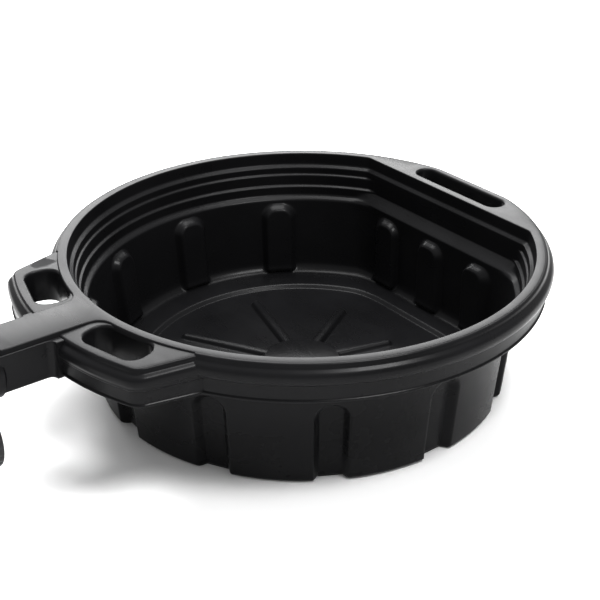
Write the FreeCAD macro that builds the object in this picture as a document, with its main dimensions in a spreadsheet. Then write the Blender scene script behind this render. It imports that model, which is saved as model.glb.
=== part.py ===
import FreeCAD, Part
import math
import os
import Sketcher

# An 18 inch oil drain pan: a round plastic tub with one flat side, a stepped rim with a hanging skirt,
# two hand grips beside a pouring spout, one grip over the flat side, and a screw cap that hangs from
# the spout by a tether.
# Frame: origin at the centre of the base on the ground, +Z up, spout towards -X, flat side towards +X.

# name, value in millimetres or degrees, what it is
SIZE_ROWS = [
    ("wall", 3.0, "wall of the moulding"),
    ("beyond", 300.0, "a length that reaches past the object, for cuts"),
    ("overlap", 1.0, "how far joined or cut shapes run into each other"),
    ("rim_height", 133.0, "top of the rim above the ground"),
    ("rim_inner", 212.0, "radius of the mouth"),
    ("rim_flat", 220.5, "outer radius of the rim's flat top"),
    ("bead_bulge", 7.5, "bead beyond the flat top"),
    ("bead_slope", 2.5, "height of the bead's upper slope"),
    ("skirt_back", 2.0, "how far the skirt stands back from the bead"),
    ("skirt_low", 98.0, "lower edge of the skirt"),
    ("lip_high", 115.0, "height of the skirt's upper lip"),
    ("lip_out", 1.2, "how far the skirt's lips stand out"),
    ("lip_slope", 1.0, "height of a lip's slope"),
    ("floor_top", 2.6, "upper side of the floor"),
    ("foot_chamfer", 2.5, "chamfer round the base"),
    ("foot_slope", 2.0, "run of the slopes under the ledge"),
    ("well", 151.0, "radius of the lower middle of the floor"),
    ("ledge_top", 6.2, "raised ledge round the floor"),
    ("ledge_in", 156.0, "inner radius of the ledge"),
    ("foot_high", 12.0, "where the wall meets the ledge"),
    ("foot_in", 181.5, "outer radius of the ledge"),
    ("wall_low", 187.6, "inner radius of the wall at the ledge"),
    ("wall_top", 196.0, "inner radius of the wall at the shoulder"),
    ("shoulder", 86.0, "height of the shoulder"),
    ("shoulder_rise", 4.0, "height of the shoulder's slope"),
    ("neck_in", 201.5, "inner radius above the shoulder"),
    ("step_low", 99.5, "height of the lowest step"),
    ("step_low_in", 204.5, "inner radius above the lowest step"),
    ("step_mid", 112.0, "height of the middle step"),
    ("step_mid_in", 207.0, "inner radius above the middle step"),
    ("step_high", 120.0, "height of the highest step"),
    ("step_high_in", 211.0, "inner radius above the highest step"),
    ("mouth_low", 127.0, "height where the wall opens out to the mouth"),
    ("mouth_slope", 1.0, "height of that slope"),
    ("well_flat", 136.0, "flat side: edge of the lower middle of the floor"),
    ("ledge_flat", 141.0, "flat side: inner edge of the ledge"),
    ("foot_flat", 158.5, "flat side: outer edge of the ledge"),
    ("wall_flat", 164.0, "flat side: face of the wall"),
    ("shelf_low", 88.0, "flat side: lower edge of the shelf's slope"),
    ("shelf_high", 97.0, "flat side: height of the shelf"),
    ("shelf_flat", 174.0, "flat side: back of the shelf"),
    ("mouth_flat", 177.6, "flat side: edge of the mouth"),
    ("rib_deep", 7.5, "how far the wall's ribs stand in"),
    ("rib_turn", 7.6, "width of a flute as an angle of the round wall"),
    ("rib_wide", 25.0, "width of a flute in the flat wall"),
    ("rib_high", 80.0, "upper end of the ribs"),
    ("rib_pitch", 30.0, "angle between ribs on the round wall"),
    ("rib_space", 67.0, "distance between ribs on the flat wall"),
    ("disc", 40.0, "radius of the raised disc on the floor"),
    ("relief", 2.0, "height of the disc and its bars"),
    ("bar_wide", 10.0, "width of a floor bar"),
    ("bar_reach", 128.0, "outer end of a floor bar"),
    ("grip_top", 129.4, "top of the grips at their outer edge; they slope up to the rim"),
    ("grip_low", 99.0, "lower edge of the grips' skirt"),
    ("grip_out", 264.0, "outer radius of the grips"),
    ("grip_root", 180.0, "where the grips' slanted ends start, along X"),
    ("grip_root_half", 122.5, "half width of the grips there"),
    ("grip_end", 280.0, "where the slanted ends' lines stop, along X"),
    ("grip_end_half", 99.8, "half width there"),
    ("slot_long", 62.0, "grip slot, along the rim"),
    ("slot_wide", 29.0, "grip slot, across"),
    ("slot_corner", 12.0, "grip slot's corner radius"),
    ("slot_middle", 235.5, "grip slot's middle from the tub's centre"),
    ("slot_angle", 14.75, "grip slot's middle from the spout's line"),
    ("slot_low", 101.0, "lower end of the slots' sleeves"),
    ("far_long", 115.0, "flat side's slot, along the flat side"),
    ("far_wide", 20.5, "flat side's slot, across"),
    ("far_corner", 10.0, "flat side's slot, corner radius"),
    ("far_middle", 198.2, "flat side's slot, middle along X"),
    ("spout_half", 20.0, "half width of the spout's top strip"),
    ("spout_body_half", 23.0, "half width of the spout under its top strip"),
    ("spout_strip", 3.5, "thickness of the top strip"),
    ("spout_low", 94.5, "underside of the spout"),
    ("spout_edge", 4.0, "bevel along the spout's underside"),
    ("spout_end", 311.0, "end of the spout's square part"),
    ("spout_root", 200.0, "where the spout starts, inside the rim"),
    ("channel_half", 18.0, "half width of the pouring channel"),
    ("channel_low", 98.5, "floor of the pouring channel"),
    ("channel_high", 127.0, "roof of the pouring channel"),
    ("channel_start", 190.0, "inner end of the pouring channel"),
    ("axis_high", 109.5, "height of the neck's axis"),
    ("collar", 25.5, "radius of the neck's collar"),
    ("collar_back", 308.5, "collar's face towards the tub"),
    ("collar_front", 314.0, "collar's face towards the thread"),
    ("groove", 20.5, "radius of the groove for the tether"),
    ("groove_front", 320.0, "outer end of that groove"),
    ("bead", 22.2, "radius of the bead that keeps the tether on"),
    ("bead_front", 322.0, "outer end of that bead"),
    ("thread", 22.2, "outer radius of the thread"),
    ("thread_start", 2.0, "plain length before the first ridge"),
    ("thread_pitch", 5.0, "distance between thread ridges"),
    ("thread_crest", 1.2, "width of a ridge's crest"),
    ("thread_flank", 0.9, "width of a ridge's flank"),
    ("neck_end", 343.0, "mouth of the neck"),
    ("bore", 16.0, "radius of the neck's bore"),
    ("cap_high", 50.0, "height of the hanging cap's axis"),
    ("cap_outer", 28.0, "radius of the cap"),
    ("cap_bore", 23.0, "radius inside the cap"),
    ("cap_mouth", 317.0, "open end of the cap"),
    ("cap_roof", 336.0, "inner face of the cap's end"),
    ("cap_face", 339.0, "outer face of the cap's end"),
    ("cap_bevel", 4.0, "bevel round the cap's end"),
    ("cap_lip", 1.0, "bevel round the cap's mouth"),
    ("cap_flute", 1.7, "radius of a finger flute on the cap"),
    ("stem", 5.0, "radius of the cap's stem"),
    ("stem_end", 342.0, "outer end of the stem"),
    ("knob", 8.0, "radius of the stem's head"),
    ("knob_end", 344.5, "outer face of the stem's head"),
    ("gasket_outer", 22.4, "radius of the gasket"),
    ("gasket_inner", 13.0, "radius of the gasket's hole"),
    ("gasket_thick", 2.0, "thickness of the gasket"),
    ("ring_inner", 20.58, "inner radius of the tether's neck ring"),
    ("ring_outer", 24.6, "outer radius of the tether's neck ring"),
    ("ring_back", 314.6, "neck ring's face towards the tub"),
    ("ring_front", 319.4, "neck ring's face towards the cap"),
    ("strap_half", 4.5, "half width of the strap"),
    ("strap_thick", 2.4, "thickness of the strap"),
    ("tab_high", 3.0, "how far the ring's tab reaches above the strap"),
    ("strap_top", 83.6, "upper side of the strap where it leaves the ring"),
    ("strap_bend", 8.0, "radius of the strap's bend, at its middle"),
    ("strap_gap", 1.3, "half the gap between the strap's two halves, where it flexes"),
    ("eye_inner", 5.08, "inner radius of the tether's eye"),
    ("eye_outer", 11.0, "outer radius of the tether's eye"),
    ("eye_back", 339.3, "eye's face towards the cap"),
    ("eye_front", 341.7, "eye's outer face"),
]
SIZES = {name: number for name, number, _ in SIZE_ROWS}

FLUTES_ROUND = 9
FLOOR_BARS = 8
FLOOR_BAR_START = 30.0
# Bars whose outer end is nearer the middle, because the flat side cuts their room: index and how much
SHORT_BARS = {0: 18.0, 7: 33.0}
CAP_FLUTES = 24
THREAD_RIDGES = 4

doc = FreeCAD.newDocument("oil_drain_pan")
sheet = doc.addObject("Spreadsheet::Sheet", "dims")
for row, (name, number, note) in enumerate(SIZE_ROWS, start=1):
    sheet.set(f"A{row}", name)
    sheet.set(f"B{row}", str(number))
    sheet.set(f"C{row}", note)
    sheet.setAlias(f"B{row}", name)
doc.recompute()


def value(text):
    """Work out a length written as size names and numbers joined by plus and minus signs."""
    total = 0.0
    sign = 1.0
    for word in text.split():
        if word in ("+", "-"):
            sign = 1.0 if word == "+" else -1.0
        else:
            total += sign * (SIZES[word] if word in SIZES else float(word))
            sign = 1.0
    return total


def formula(text):
    """The same text as an expression that reads the spreadsheet."""
    words = ["dims." + word if word in SIZES else word for word in text.split()]
    return " ".join(words)


def between(low, high):
    """The distance from one length to another, both written as text."""
    flipped = {"+": "-", "-": "+"}
    words = low.split()
    if words[0] not in flipped:
        words.insert(0, "+")
    return " ".join([high] + [flipped.get(word, word) for word in words])


def bind(thing, prop, text):
    """Tie a property to sizes in the spreadsheet."""
    thing.setExpression(prop, formula(text))


def origin_plane(body, role):
    return [plane for plane in body.Origin.OriginFeatures if plane.Role == role][0]


def new_body(name):
    body = doc.addObject("PartDesign::Body", name)
    body.Label = name
    return body


def sketch_on(body, name, role, turn=0.0):
    """A sketch on one of the body's own planes, turned about Z by some degrees."""
    sketch = body.newObject("Sketcher::SketchObject", name)
    sketch.AttachmentSupport = [(origin_plane(body, role), "")]
    sketch.MapMode = "FlatFace"
    if turn:
        spin = FreeCAD.Rotation(FreeCAD.Vector(0, 1, 0), turn)
        sketch.AttachmentOffset = FreeCAD.Placement(FreeCAD.Vector(), spin)
    return sketch


def outline(sketch, corners):
    """A closed outline of straight edges; each corner is a pair of lengths as text."""
    count = len(corners)
    points = [FreeCAD.Vector(value(across), value(up), 0) for across, up in corners]
    for index in range(count):
        edge = Part.LineSegment(points[index], points[(index + 1) % count])
        sketch.addGeometry(edge, False)
    for index in range(count):
        joint = Sketcher.Constraint("Coincident", index, 2, (index + 1) % count, 1)
        sketch.addConstraint(joint)
    for index, (across, up) in enumerate(corners):
        for kind, text in (("DistanceX", across), ("DistanceY", up)):
            rule = Sketcher.Constraint(kind, -1, 1, index, 1, value(text))
            number = sketch.addConstraint(rule)
            bind(sketch, f"Constraints[{number}]", text)
    return sketch


def circle(sketch, across, up, radius):
    """A circle whose centre and radius are lengths as text."""
    centre = FreeCAD.Vector(value(across), value(up), 0)
    index = sketch.addGeometry(Part.Circle(centre, FreeCAD.Vector(0, 0, 1), value(radius)), False)
    for kind, text in (("DistanceX", across), ("DistanceY", up)):
        number = sketch.addConstraint(Sketcher.Constraint(kind, -1, 1, index, 3, value(text)))
        bind(sketch, f"Constraints[{number}]", text)
    number = sketch.addConstraint(Sketcher.Constraint("Radius", index, value(radius)))
    bind(sketch, f"Constraints[{number}]", radius)


def revolve(body, name, sketch, kind="PartDesign::Revolution", angle=360.0):
    """Turn a sketch about its own upright axis."""
    turned = body.newObject(kind, name)
    turned.Profile = sketch
    turned.ReferenceAxis = (sketch, ["V_Axis"])
    turned.Angle = angle
    turned.Midplane = angle < 360.0
    return turned


def pad(body, name, sketch, length, both_ways=False):
    raised = body.newObject("PartDesign::Pad", name)
    raised.Profile = sketch
    bind(raised, "Length", length)
    raised.Midplane = both_ways
    return raised


def pocket(body, name, sketch, length):
    """Cut a sketch equally to both sides of its plane."""
    cut = body.newObject("PartDesign::Pocket", name)
    cut.Profile = sketch
    cut.Type = "Length"
    bind(cut, "Length", length)
    cut.Midplane = True
    return cut


def joined(kind, name, parts):
    """A Part boolean of several shapes."""
    result = doc.addObject(kind, name)
    result.Shapes = parts
    return result


def cut_away(name, base, tool):
    result = doc.addObject("Part::Cut", name)
    result.Base = base
    result.Tool = tool
    return result


def cylinder(name, radius, low, high):
    """An upright cylinder on the Z axis between two heights."""
    drum = doc.addObject("Part::Cylinder", name)
    bind(drum, "Radius", radius)
    bind(drum, "Height", between(low, high))
    bind(drum, "Placement.Base.z", low)
    return drum


def block(name, x_low, long, half, low, high):
    """A box from x_low along X, to half on both sides of the XZ plane, between two heights."""
    box = doc.addObject("Part::Box", name)
    bind(box, "Length", long)
    bind(box, "Width", half + " + " + half)
    bind(box, "Height", between(low, high))
    bind(box, "Placement.Base.x", x_low)
    bind(box, "Placement.Base.y", "- " + half)
    bind(box, "Placement.Base.z", low)
    return box


def drum_along_x(name, radius, x_low, long, axis_high):
    """A cylinder along X, from x_low towards +X, at a height."""
    drum = doc.addObject("Part::Cylinder", name)
    drum.Placement = FreeCAD.Placement(FreeCAD.Vector(), FreeCAD.Rotation(FreeCAD.Vector(0, 1, 0), 90))
    bind(drum, "Radius", radius)
    bind(drum, "Height", long)
    bind(drum, "Placement.Base.x", x_low)
    bind(drum, "Placement.Base.z", axis_high)
    return drum


# ---- the tub ----

def grown(corners, thick):
    """Profile corners moved out by the wall: the radius grows and a height drops where it is asked to."""
    moved = []
    for across, up, drops in corners:
        moved.append((across + " + wall" if thick else across, up + " - wall" if thick and drops else up))
    return moved


def tub_form(name, thick):
    """The tub as a solid: its hollow, or with thick its outside. Ribs stand in, so flutes cut both."""
    body = new_body(name)
    if thick:
        foot = [("0", "0"), ("ledge_in - foot_slope", "0"), ("ledge_in + foot_slope", "wall"),
                ("foot_in - foot_slope", "wall"), ("foot_in", "0"),
                ("wall_low + wall - foot_chamfer", "0"), ("wall_low + wall", "foot_chamfer")]
        top = "rim_height - wall"
    else:
        foot = [("0", "floor_top"), ("well", "floor_top"), ("ledge_in", "ledge_top"),
                ("foot_in", "ledge_top"), ("wall_low", "foot_high")]
        top = "rim_height + overlap"
    steps = grown([
        ("wall_top", "shoulder", False), ("neck_in", "shoulder + shoulder_rise", True),
        ("neck_in", "step_low", True), ("step_low_in", "step_low", True),
        ("step_low_in", "step_mid", True), ("step_mid_in", "step_mid", True),
        ("step_mid_in", "step_high", True), ("step_high_in", "step_high", True)], thick)
    more = " + wall" if thick else ""
    mouth = [("step_high_in" + more, "mouth_low"), ("rim_inner" + more, "mouth_low + mouth_slope"),
             ("rim_inner" + more, top), ("0", top)]
    round_side = outline(sketch_on(body, name + "_profile", "XZ_Plane"), foot + steps + mouth)
    revolve(body, name + "_round", round_side)

    # the flat side: everything beyond this outline is cut off
    under = " - wall" if thick else ""
    if thick:
        floor = [("beyond", "- beyond"), ("wall_flat + wall - foot_chamfer", "- beyond"),
                 ("wall_flat + wall - foot_chamfer", "0"), ("wall_flat + wall", "foot_chamfer")]
    else:
        floor = [("beyond", "- beyond"), ("well_flat", "- beyond"), ("well_flat", "floor_top"),
                 ("ledge_flat", "ledge_top"), ("foot_flat", "ledge_top"), ("wall_flat", "foot_high")]
    back = [("wall_flat" + more, "shelf_low" + under), ("shelf_flat" + more, "shelf_high" + under),
            ("shelf_flat" + more, "step_high" + under), ("mouth_flat" + more, "step_high" + under),
            ("mouth_flat" + more, "beyond"), ("beyond", "beyond")]
    flat_side = outline(sketch_on(body, name + "_flat_profile", "XZ_Plane"), floor + back)
    pocket(body, name + "_flat_side", flat_side, "beyond + beyond")

    # flutes in the round wall, each a narrow turn of the wall's own slope
    deep = "rib_deep"
    bottom = "ledge_top" if not thick else "0"
    inner = outline(sketch_on(body, name + "_flute_profile", "XZ_Plane", 2 * SIZES["rib_pitch"]), [
        ("wall_low" + more + " - " + deep, bottom + " - overlap"),
        ("wall_top" + more + " - " + deep, "rib_high" + under),
        ("wall_top" + more + " + " + deep, "rib_high" + under),
        ("wall_top" + more + " + " + deep, bottom + " - overlap")])
    spread = 2 * math.degrees(math.atan(SIZES["wall"] / SIZES["wall_low"])) if not thick else 0.0
    flute = revolve(body, name + "_flute", inner, "PartDesign::Groove", SIZES["rib_turn"] + spread)
    doc.recompute()
    around = body.newObject("PartDesign::PolarPattern", name + "_flutes")
    around.Originals = [flute]
    around.Axis = (inner, ["V_Axis"])
    around.Mode = "Extent"
    around.Angle = (FLUTES_ROUND - 1) * SIZES["rib_pitch"]
    around.Occurrences = FLUTES_ROUND
    body.Tip = around

    # flutes in the flat wall
    slot = outline(sketch_on(body, name + "_flat_flute_profile", "XZ_Plane"), [
        ("wall_flat" + more + " - " + deep, bottom + " - overlap"),
        ("wall_flat" + more + " - " + deep, "rib_high" + under),
        ("wall_flat" + more + " + " + deep, "rib_high" + under),
        ("wall_flat" + more + " + " + deep, bottom + " - overlap")])
    wide = "rib_wide" if thick else "rib_wide + wall + wall"
    middle = pocket(body, name + "_flat_flute", slot, wide)
    doc.recompute()
    row = body.newObject("PartDesign::LinearPattern", name + "_flat_flutes")
    row.Originals = [middle]
    row.Direction = (origin_plane(body, "XZ_Plane"), [""])
    row.Mode = "Spacing"
    bind(row, "Offset", "rib_space")
    row.Occurrences = 2
    body.Tip = row
    doc.recompute()
    other = body.newObject("PartDesign::LinearPattern", name + "_flat_flutes_other_way")
    other.Originals = [middle]
    other.Direction = (origin_plane(body, "XZ_Plane"), [""])
    other.Mode = "Spacing"
    other.Reversed = True
    bind(other, "Offset", "rib_space")
    other.Occurrences = 2
    body.Tip = other
    return body


def rim_form():
    """The rim's flat top as a full disc, with the bead and skirt round it."""
    body = new_body("rim_form")
    bead = "rim_flat + bead_bulge"
    skirt = bead + " - skirt_back"
    corners = [
        ("0", "rim_height - wall"), ("0", "rim_height"), ("rim_flat", "rim_height"),
        (skirt, "rim_height - bead_slope"), (bead, "rim_height - bead_bulge"),
        (skirt, "lip_high"), (skirt + " + lip_out", "lip_high - lip_slope"),
        (skirt, "skirt_low + lip_slope + lip_slope"), (skirt + " + lip_out", "skirt_low + lip_slope"),
        (skirt, "skirt_low"), (skirt + " - wall", "skirt_low"), (skirt + " - wall", "rim_height - wall")]
    revolve(body, "rim_round", outline(sketch_on(body, "rim_profile", "XZ_Plane"), corners))
    return body


def wedge(name, low, high, inset):
    """The grips' plan between their two slanted ends, as an upright solid; inset draws it in."""
    body = new_body(name)
    sketch = outline(sketch_on(body, name + "_plan", "XY_Plane"), [
        ("- grip_root", "grip_root_half - " + inset), ("- grip_end", "grip_end_half - " + inset),
        ("- grip_end", inset + " - grip_end_half"), ("- grip_root", inset + " - grip_root_half")])
    raised = pad(body, name + "_block", sketch, between(low, high))
    bind(body, "Placement.Base.z", low)
    return body


def grip_turn(name, low, inset):
    """The grips' section turned right round: level with the rim inside, sloping down to the outer edge."""
    body = new_body(name)
    sketch = outline(sketch_on(body, name + "_profile", "XZ_Plane"), [
        ("0", low), ("0", "rim_height - " + inset), ("rim_flat", "rim_height - " + inset),
        ("grip_out - " + inset, "grip_top - " + inset), ("grip_out - " + inset, low)])
    revolve(body, name + "_round", sketch)
    return body


def slot_form(name, long, wide, corner, low, high, middle, angle):
    """A slot with round corners as an upright solid, its middle on a circle at an angle from +X."""
    body = new_body(name)
    sketch = body.newObject("Sketcher::SketchObject", name + "_plan")
    sketch.AttachmentSupport = [(origin_plane(body, "XY_Plane"), "")]
    sketch.MapMode = "FlatFace"
    box = (value(wide), value(long))
    corners = ((-1, -1), (1, -1), (1, 1), (-1, 1))
    points = [FreeCAD.Vector(a * box[0] / 2, b * box[1] / 2, 0) for a, b in corners]
    for index in range(4):
        sketch.addGeometry(Part.LineSegment(points[index], points[(index + 1) % 4]), False)
    for index in range(4):
        sketch.addConstraint(Sketcher.Constraint("Coincident", index, 2, (index + 1) % 4, 1))
    sketch.addConstraint(Sketcher.Constraint("Horizontal", 0))
    sketch.addConstraint(Sketcher.Constraint("Vertical", 1))
    sketch.addConstraint(Sketcher.Constraint("Symmetric", 0, 1, 1, 2, -1, 1))
    sketch.addConstraint(Sketcher.Constraint("Vertical", 3))
    number = sketch.addConstraint(Sketcher.Constraint("DistanceX", 0, 1, 0, 2, box[0]))
    bind(sketch, f"Constraints[{number}]", wide)
    number = sketch.addConstraint(Sketcher.Constraint("DistanceY", 1, 1, 1, 2, box[1]))
    bind(sketch, f"Constraints[{number}]", long)
    raised = pad(body, name + "_block", sketch, between(low, high))
    doc.recompute()
    upright = [f"Edge{number}" for number, edge in enumerate(raised.Shape.Edges, start=1)
               if abs(edge.tangentAt(edge.FirstParameter).z) > 0.99]
    rounded = body.newObject("PartDesign::Fillet", name + "_corners")
    rounded.Base = (raised, upright)
    bind(rounded, "Radius", corner)
    turn = math.radians(angle)
    centre = FreeCAD.Vector(value(middle) * math.cos(turn), value(middle) * math.sin(turn), value(low))
    body.Placement = FreeCAD.Placement(centre, FreeCAD.Rotation(FreeCAD.Vector(0, 0, 1), angle))
    return body


def floor_relief():
    """The raised disc in the middle of the floor, and the bars that run out from it."""
    shapes = [cylinder("floor_disc", "disc", "overlap", "floor_top + relief")]
    for index in range(FLOOR_BARS):
        bar = doc.addObject("Part::Box", f"floor_bar_{index + 1}")
        short = f" - {SHORT_BARS[index]}" if index in SHORT_BARS else ""
        bind(bar, "Length", "bar_reach" + short)
        bind(bar, "Width", "bar_wide")
        bind(bar, "Height", "floor_top + relief - overlap")
        angle = FLOOR_BAR_START + index * 360.0 / FLOOR_BARS
        spin = FreeCAD.Rotation(FreeCAD.Vector(0, 0, 1), angle)
        start = spin.multVec(FreeCAD.Vector(0, -SIZES["bar_wide"] / 2, SIZES["overlap"]))
        bar.Placement = FreeCAD.Placement(start, spin)
        shapes.append(bar)
    return shapes


def spout_form():
    """The square spout with its flat top strip, before its channel is cut."""
    body = new_body("spout_form")
    strip = "rim_height - spout_strip"
    edge = "spout_low + spout_edge"
    half = [("spout_half", "rim_height"), ("spout_half", strip), ("spout_body_half", strip),
            ("spout_body_half", edge), ("spout_body_half - spout_edge", "spout_low")]
    other = [("- spout_half", "rim_height"), ("- spout_half", strip), ("- spout_body_half", strip),
             ("- spout_body_half", edge), ("spout_edge - spout_body_half", "spout_low")]
    sketch = outline(sketch_on(body, "spout_section", "YZ_Plane"), half + other[::-1])
    pad(body, "spout_block", sketch, "spout_end - spout_root")
    bind(body, "Placement.Base.x", "- spout_end")
    return body


def neck_form():
    """The round neck: collar, groove for the tether, bead, and ridges for the cap."""
    body = new_body("neck_form")
    corners = [("- collar_back", "0"), ("- collar_back", "collar - overlap"),
               ("- collar_back - overlap", "collar"),
               ("- collar_front", "collar"), ("- collar_front", "groove"), ("- groove_front", "groove"),
               ("- groove_front", "bead"), ("- bead_front", "bead"), ("- bead_front", "groove")]
    for ridge in range(THREAD_RIDGES):
        start = f"- bead_front - thread_start - {ridge * SIZES['thread_pitch']}"
        corners += [(start, "groove"), (start + " - thread_flank", "thread"),
                    (start + " - thread_flank - thread_crest", "thread"),
                    (start + " - thread_flank - thread_crest - thread_flank", "groove")]
    corners += [("- neck_end", "groove"), ("- neck_end", "0")]
    sketch = outline(sketch_on(body, "neck_profile", "XZ_Plane"), corners)
    turned = revolve(body, "neck_round", sketch)
    turned.ReferenceAxis = (sketch, ["H_Axis"])
    bind(body, "Placement.Base.z", "axis_high")
    return body


def pan():
    """The whole moulding: tub, rim, grips and spout, less its hollow, slots and pouring channel."""
    grip_block = joined("Part::MultiCommon", "grip_block", [
        wedge("grip_plan", "grip_low", "rim_height", "0"),
        grip_turn("grip_section", "grip_low - overlap", "0")])
    grip_hollow = joined("Part::MultiCommon", "grip_hollow", [
        wedge("grip_hollow_plan", "grip_low - overlap", "rim_height", "wall"),
        grip_turn("grip_hollow_section", "grip_low - wall", "wall")])
    grips = cut_away("grips", grip_block, grip_hollow)
    sleeves = []
    slots = []
    angles = [180.0 - SIZES["slot_angle"], 180.0 + SIZES["slot_angle"]]
    for name, angle in zip(("left", "right"), angles):
        block_form = slot_form(f"{name}_sleeve_block", "slot_long + wall + wall", "slot_wide + wall + wall",
                               "slot_corner + wall", "slot_low", "rim_height", "slot_middle", angle)
        limit = grip_turn(f"{name}_sleeve_limit", "slot_low", "overlap")
        sleeves.append(joined("Part::MultiCommon", f"{name}_sleeve", [block_form, limit]))
        slots.append(slot_form(f"{name}_slot", "slot_long", "slot_wide", "slot_corner",
                               "slot_low - beyond", "beyond", "slot_middle", angle))
    sleeves.append(slot_form("far_sleeve", "far_long + wall + wall", "far_wide + wall + wall",
                             "far_corner + wall", "slot_low", "rim_height - overlap", "far_middle", 0.0))
    slots.append(slot_form("far_slot", "far_long", "far_wide", "far_corner",
                           "slot_low - beyond", "beyond", "far_middle", 0.0))
    shell = joined("Part::MultiFuse", "shell", [
        tub_form("tub_outside", True), rim_form(), grips, spout_form(), neck_form()] + sleeves)
    hollow = joined("Part::MultiFuse", "hollow", [
        tub_form("tub_hollow", False),
        block("channel", "- collar_front", "collar_front - channel_start", "channel_half",
              "channel_low", "channel_high"),
        drum_along_x("neck_bore", "bore", "- neck_end - overlap", "neck_end + overlap - collar_back",
                     "axis_high")] + slots)
    open_shell = cut_away("open_shell", shell, hollow)
    whole = joined("Part::MultiFuse", "pan", [open_shell] + floor_relief())
    whole.Label = "pan"
    return whole


# ---- the cap and its gasket ----

def cap():
    """The screw cap, with finger flutes, and a stem with a head that the tether's eye turns on."""
    body = new_body("spout_cap")
    corners = [("- cap_mouth", "cap_bore"), ("- cap_mouth", "cap_outer - cap_lip"),
               ("- cap_mouth - cap_lip", "cap_outer"), ("cap_bevel - cap_face", "cap_outer"),
               ("- cap_face", "cap_outer - cap_bevel"), ("- cap_face", "stem"),
               ("- stem_end", "stem"), ("- stem_end", "knob"), ("cap_lip - knob_end", "knob"),
               ("- knob_end", "knob - cap_lip"), ("- knob_end", "0"), ("- cap_roof", "0"),
               ("- cap_roof", "cap_bore")]
    sketch = outline(sketch_on(body, "cap_profile", "XZ_Plane"), corners)
    turned = revolve(body, "cap_round", sketch)
    turned.ReferenceAxis = (sketch, ["H_Axis"])
    doc.recompute()
    mark = sketch_on(body, "cap_flute_section", "YZ_Plane")
    circle(mark, "0", "cap_outer + cap_flute - cap_lip", "cap_flute")
    flute = pocket(body, "cap_flute_cut", mark, "beyond + beyond + beyond")
    doc.recompute()
    around = body.newObject("PartDesign::PolarPattern", "cap_flutes")
    around.Originals = [flute]
    around.Axis = (sketch, ["H_Axis"])
    around.Angle = 360
    around.Occurrences = CAP_FLUTES
    body.Tip = around
    bind(body, "Placement.Base.z", "cap_high")
    return body


def tube_along_x(name, outer, inner, x_low, long, axis_high):
    """A round tube along X."""
    tube = cut_away(name, drum_along_x(name + "_outside", outer, x_low, long, axis_high),
                    drum_along_x(name + "_hole", inner, x_low + " - overlap", long + " + overlap + overlap",
                                 axis_high))
    tube.Label = name
    return tube


# ---- the tether ----

def neck_ring():
    """The tether's loose ring, in the neck's groove, with the tab that the strap starts from."""
    ring = cut_away("neck_ring_body", joined("Part::MultiFuse", "neck_ring_blank", [
        drum_along_x("neck_ring_outside", "ring_outer", "- ring_front", "ring_front - ring_back",
                     "axis_high"),
        block("neck_ring_tab", "- ring_front", "ring_front - ring_back", "strap_half",
              "strap_top - strap_thick", "strap_top + tab_high")]),
        drum_along_x("neck_ring_hole", "ring_inner", "- ring_front - overlap",
                     "ring_front + overlap + overlap - ring_back", "axis_high"))
    ring.Label = "tether_neck_ring"
    return ring


def strap_half(name, first):
    """One half of the strap: out from the ring and down, or on down to the eye, with a gap at the bend."""
    size = SIZES
    middle = size["strap_top"] - size["strap_thick"] / 2
    bend_x = -(size["eye_back"] + size["strap_thick"] / 2) + size["strap_bend"]
    centre = FreeCAD.Vector(bend_x, 0, middle - size["strap_bend"])
    gap = size["strap_gap"] / size["strap_bend"]
    start, end = (math.pi / 2, math.pi * 3 / 4 - gap) if first else (math.pi * 3 / 4 + gap, math.pi)

    def at(angle, radius):
        return centre + FreeCAD.Vector(radius * math.cos(angle), 0, radius * math.sin(angle))

    near = size["strap_bend"] - size["strap_thick"] / 2
    far = size["strap_bend"] + size["strap_thick"] / 2
    half_turn = (start + end) / 2
    arcs = [Part.Arc(at(start, near), at(half_turn, near), at(end, near)).toShape(),
            Part.Arc(at(end, far), at(half_turn, far), at(start, far)).toShape()]
    if first:
        ring_x = -size["ring_front"]
        run = [FreeCAD.Vector(ring_x, 0, at(start, far).z), FreeCAD.Vector(ring_x, 0, at(start, near).z)]
        edges = [arcs[0], Part.makeLine(at(end, near), at(end, far)), arcs[1],
                 Part.makeLine(at(start, far), run[0]), Part.makeLine(run[0], run[1]),
                 Part.makeLine(run[1], at(start, near))]
    else:
        low = size["cap_high"] + size["eye_outer"] - size["overlap"]
        run = [FreeCAD.Vector(at(end, near).x, 0, low), FreeCAD.Vector(at(end, far).x, 0, low)]
        edges = [arcs[0], Part.makeLine(at(end, near), run[0]), Part.makeLine(run[0], run[1]),
                 Part.makeLine(run[1], at(end, far)), arcs[1],
                 Part.makeLine(at(start, far), at(start, near))]
    face = Part.Face(Part.Wire(Part.__sortEdges__(edges)))
    solid = face.extrude(FreeCAD.Vector(0, 2 * size["strap_half"], 0))
    half = doc.addObject("Part::Feature", name)
    half.Shape = solid
    half.Label = name
    half.Placement = FreeCAD.Placement(FreeCAD.Vector(0, -size["strap_half"], 0), FreeCAD.Rotation())
    return half


def eye():
    """The round end of the tether, turning on the cap's stem."""
    return tube_along_x("tether_eye", "eye_outer", "eye_inner", "- eye_front", "eye_front - eye_back",
                        "cap_high")


def strap_tail():
    """The strap's lower half, cut round so that it meets the eye's edge."""
    tail = cut_away("strap_tail", strap_half("strap_lower_blank", False),
                    drum_along_x("eye_clearance", "eye_outer", "- eye_front - overlap",
                                 "eye_front + overlap + overlap - eye_back", "cap_high"))
    tail.Label = "tether_strap_lower"
    return tail


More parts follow.
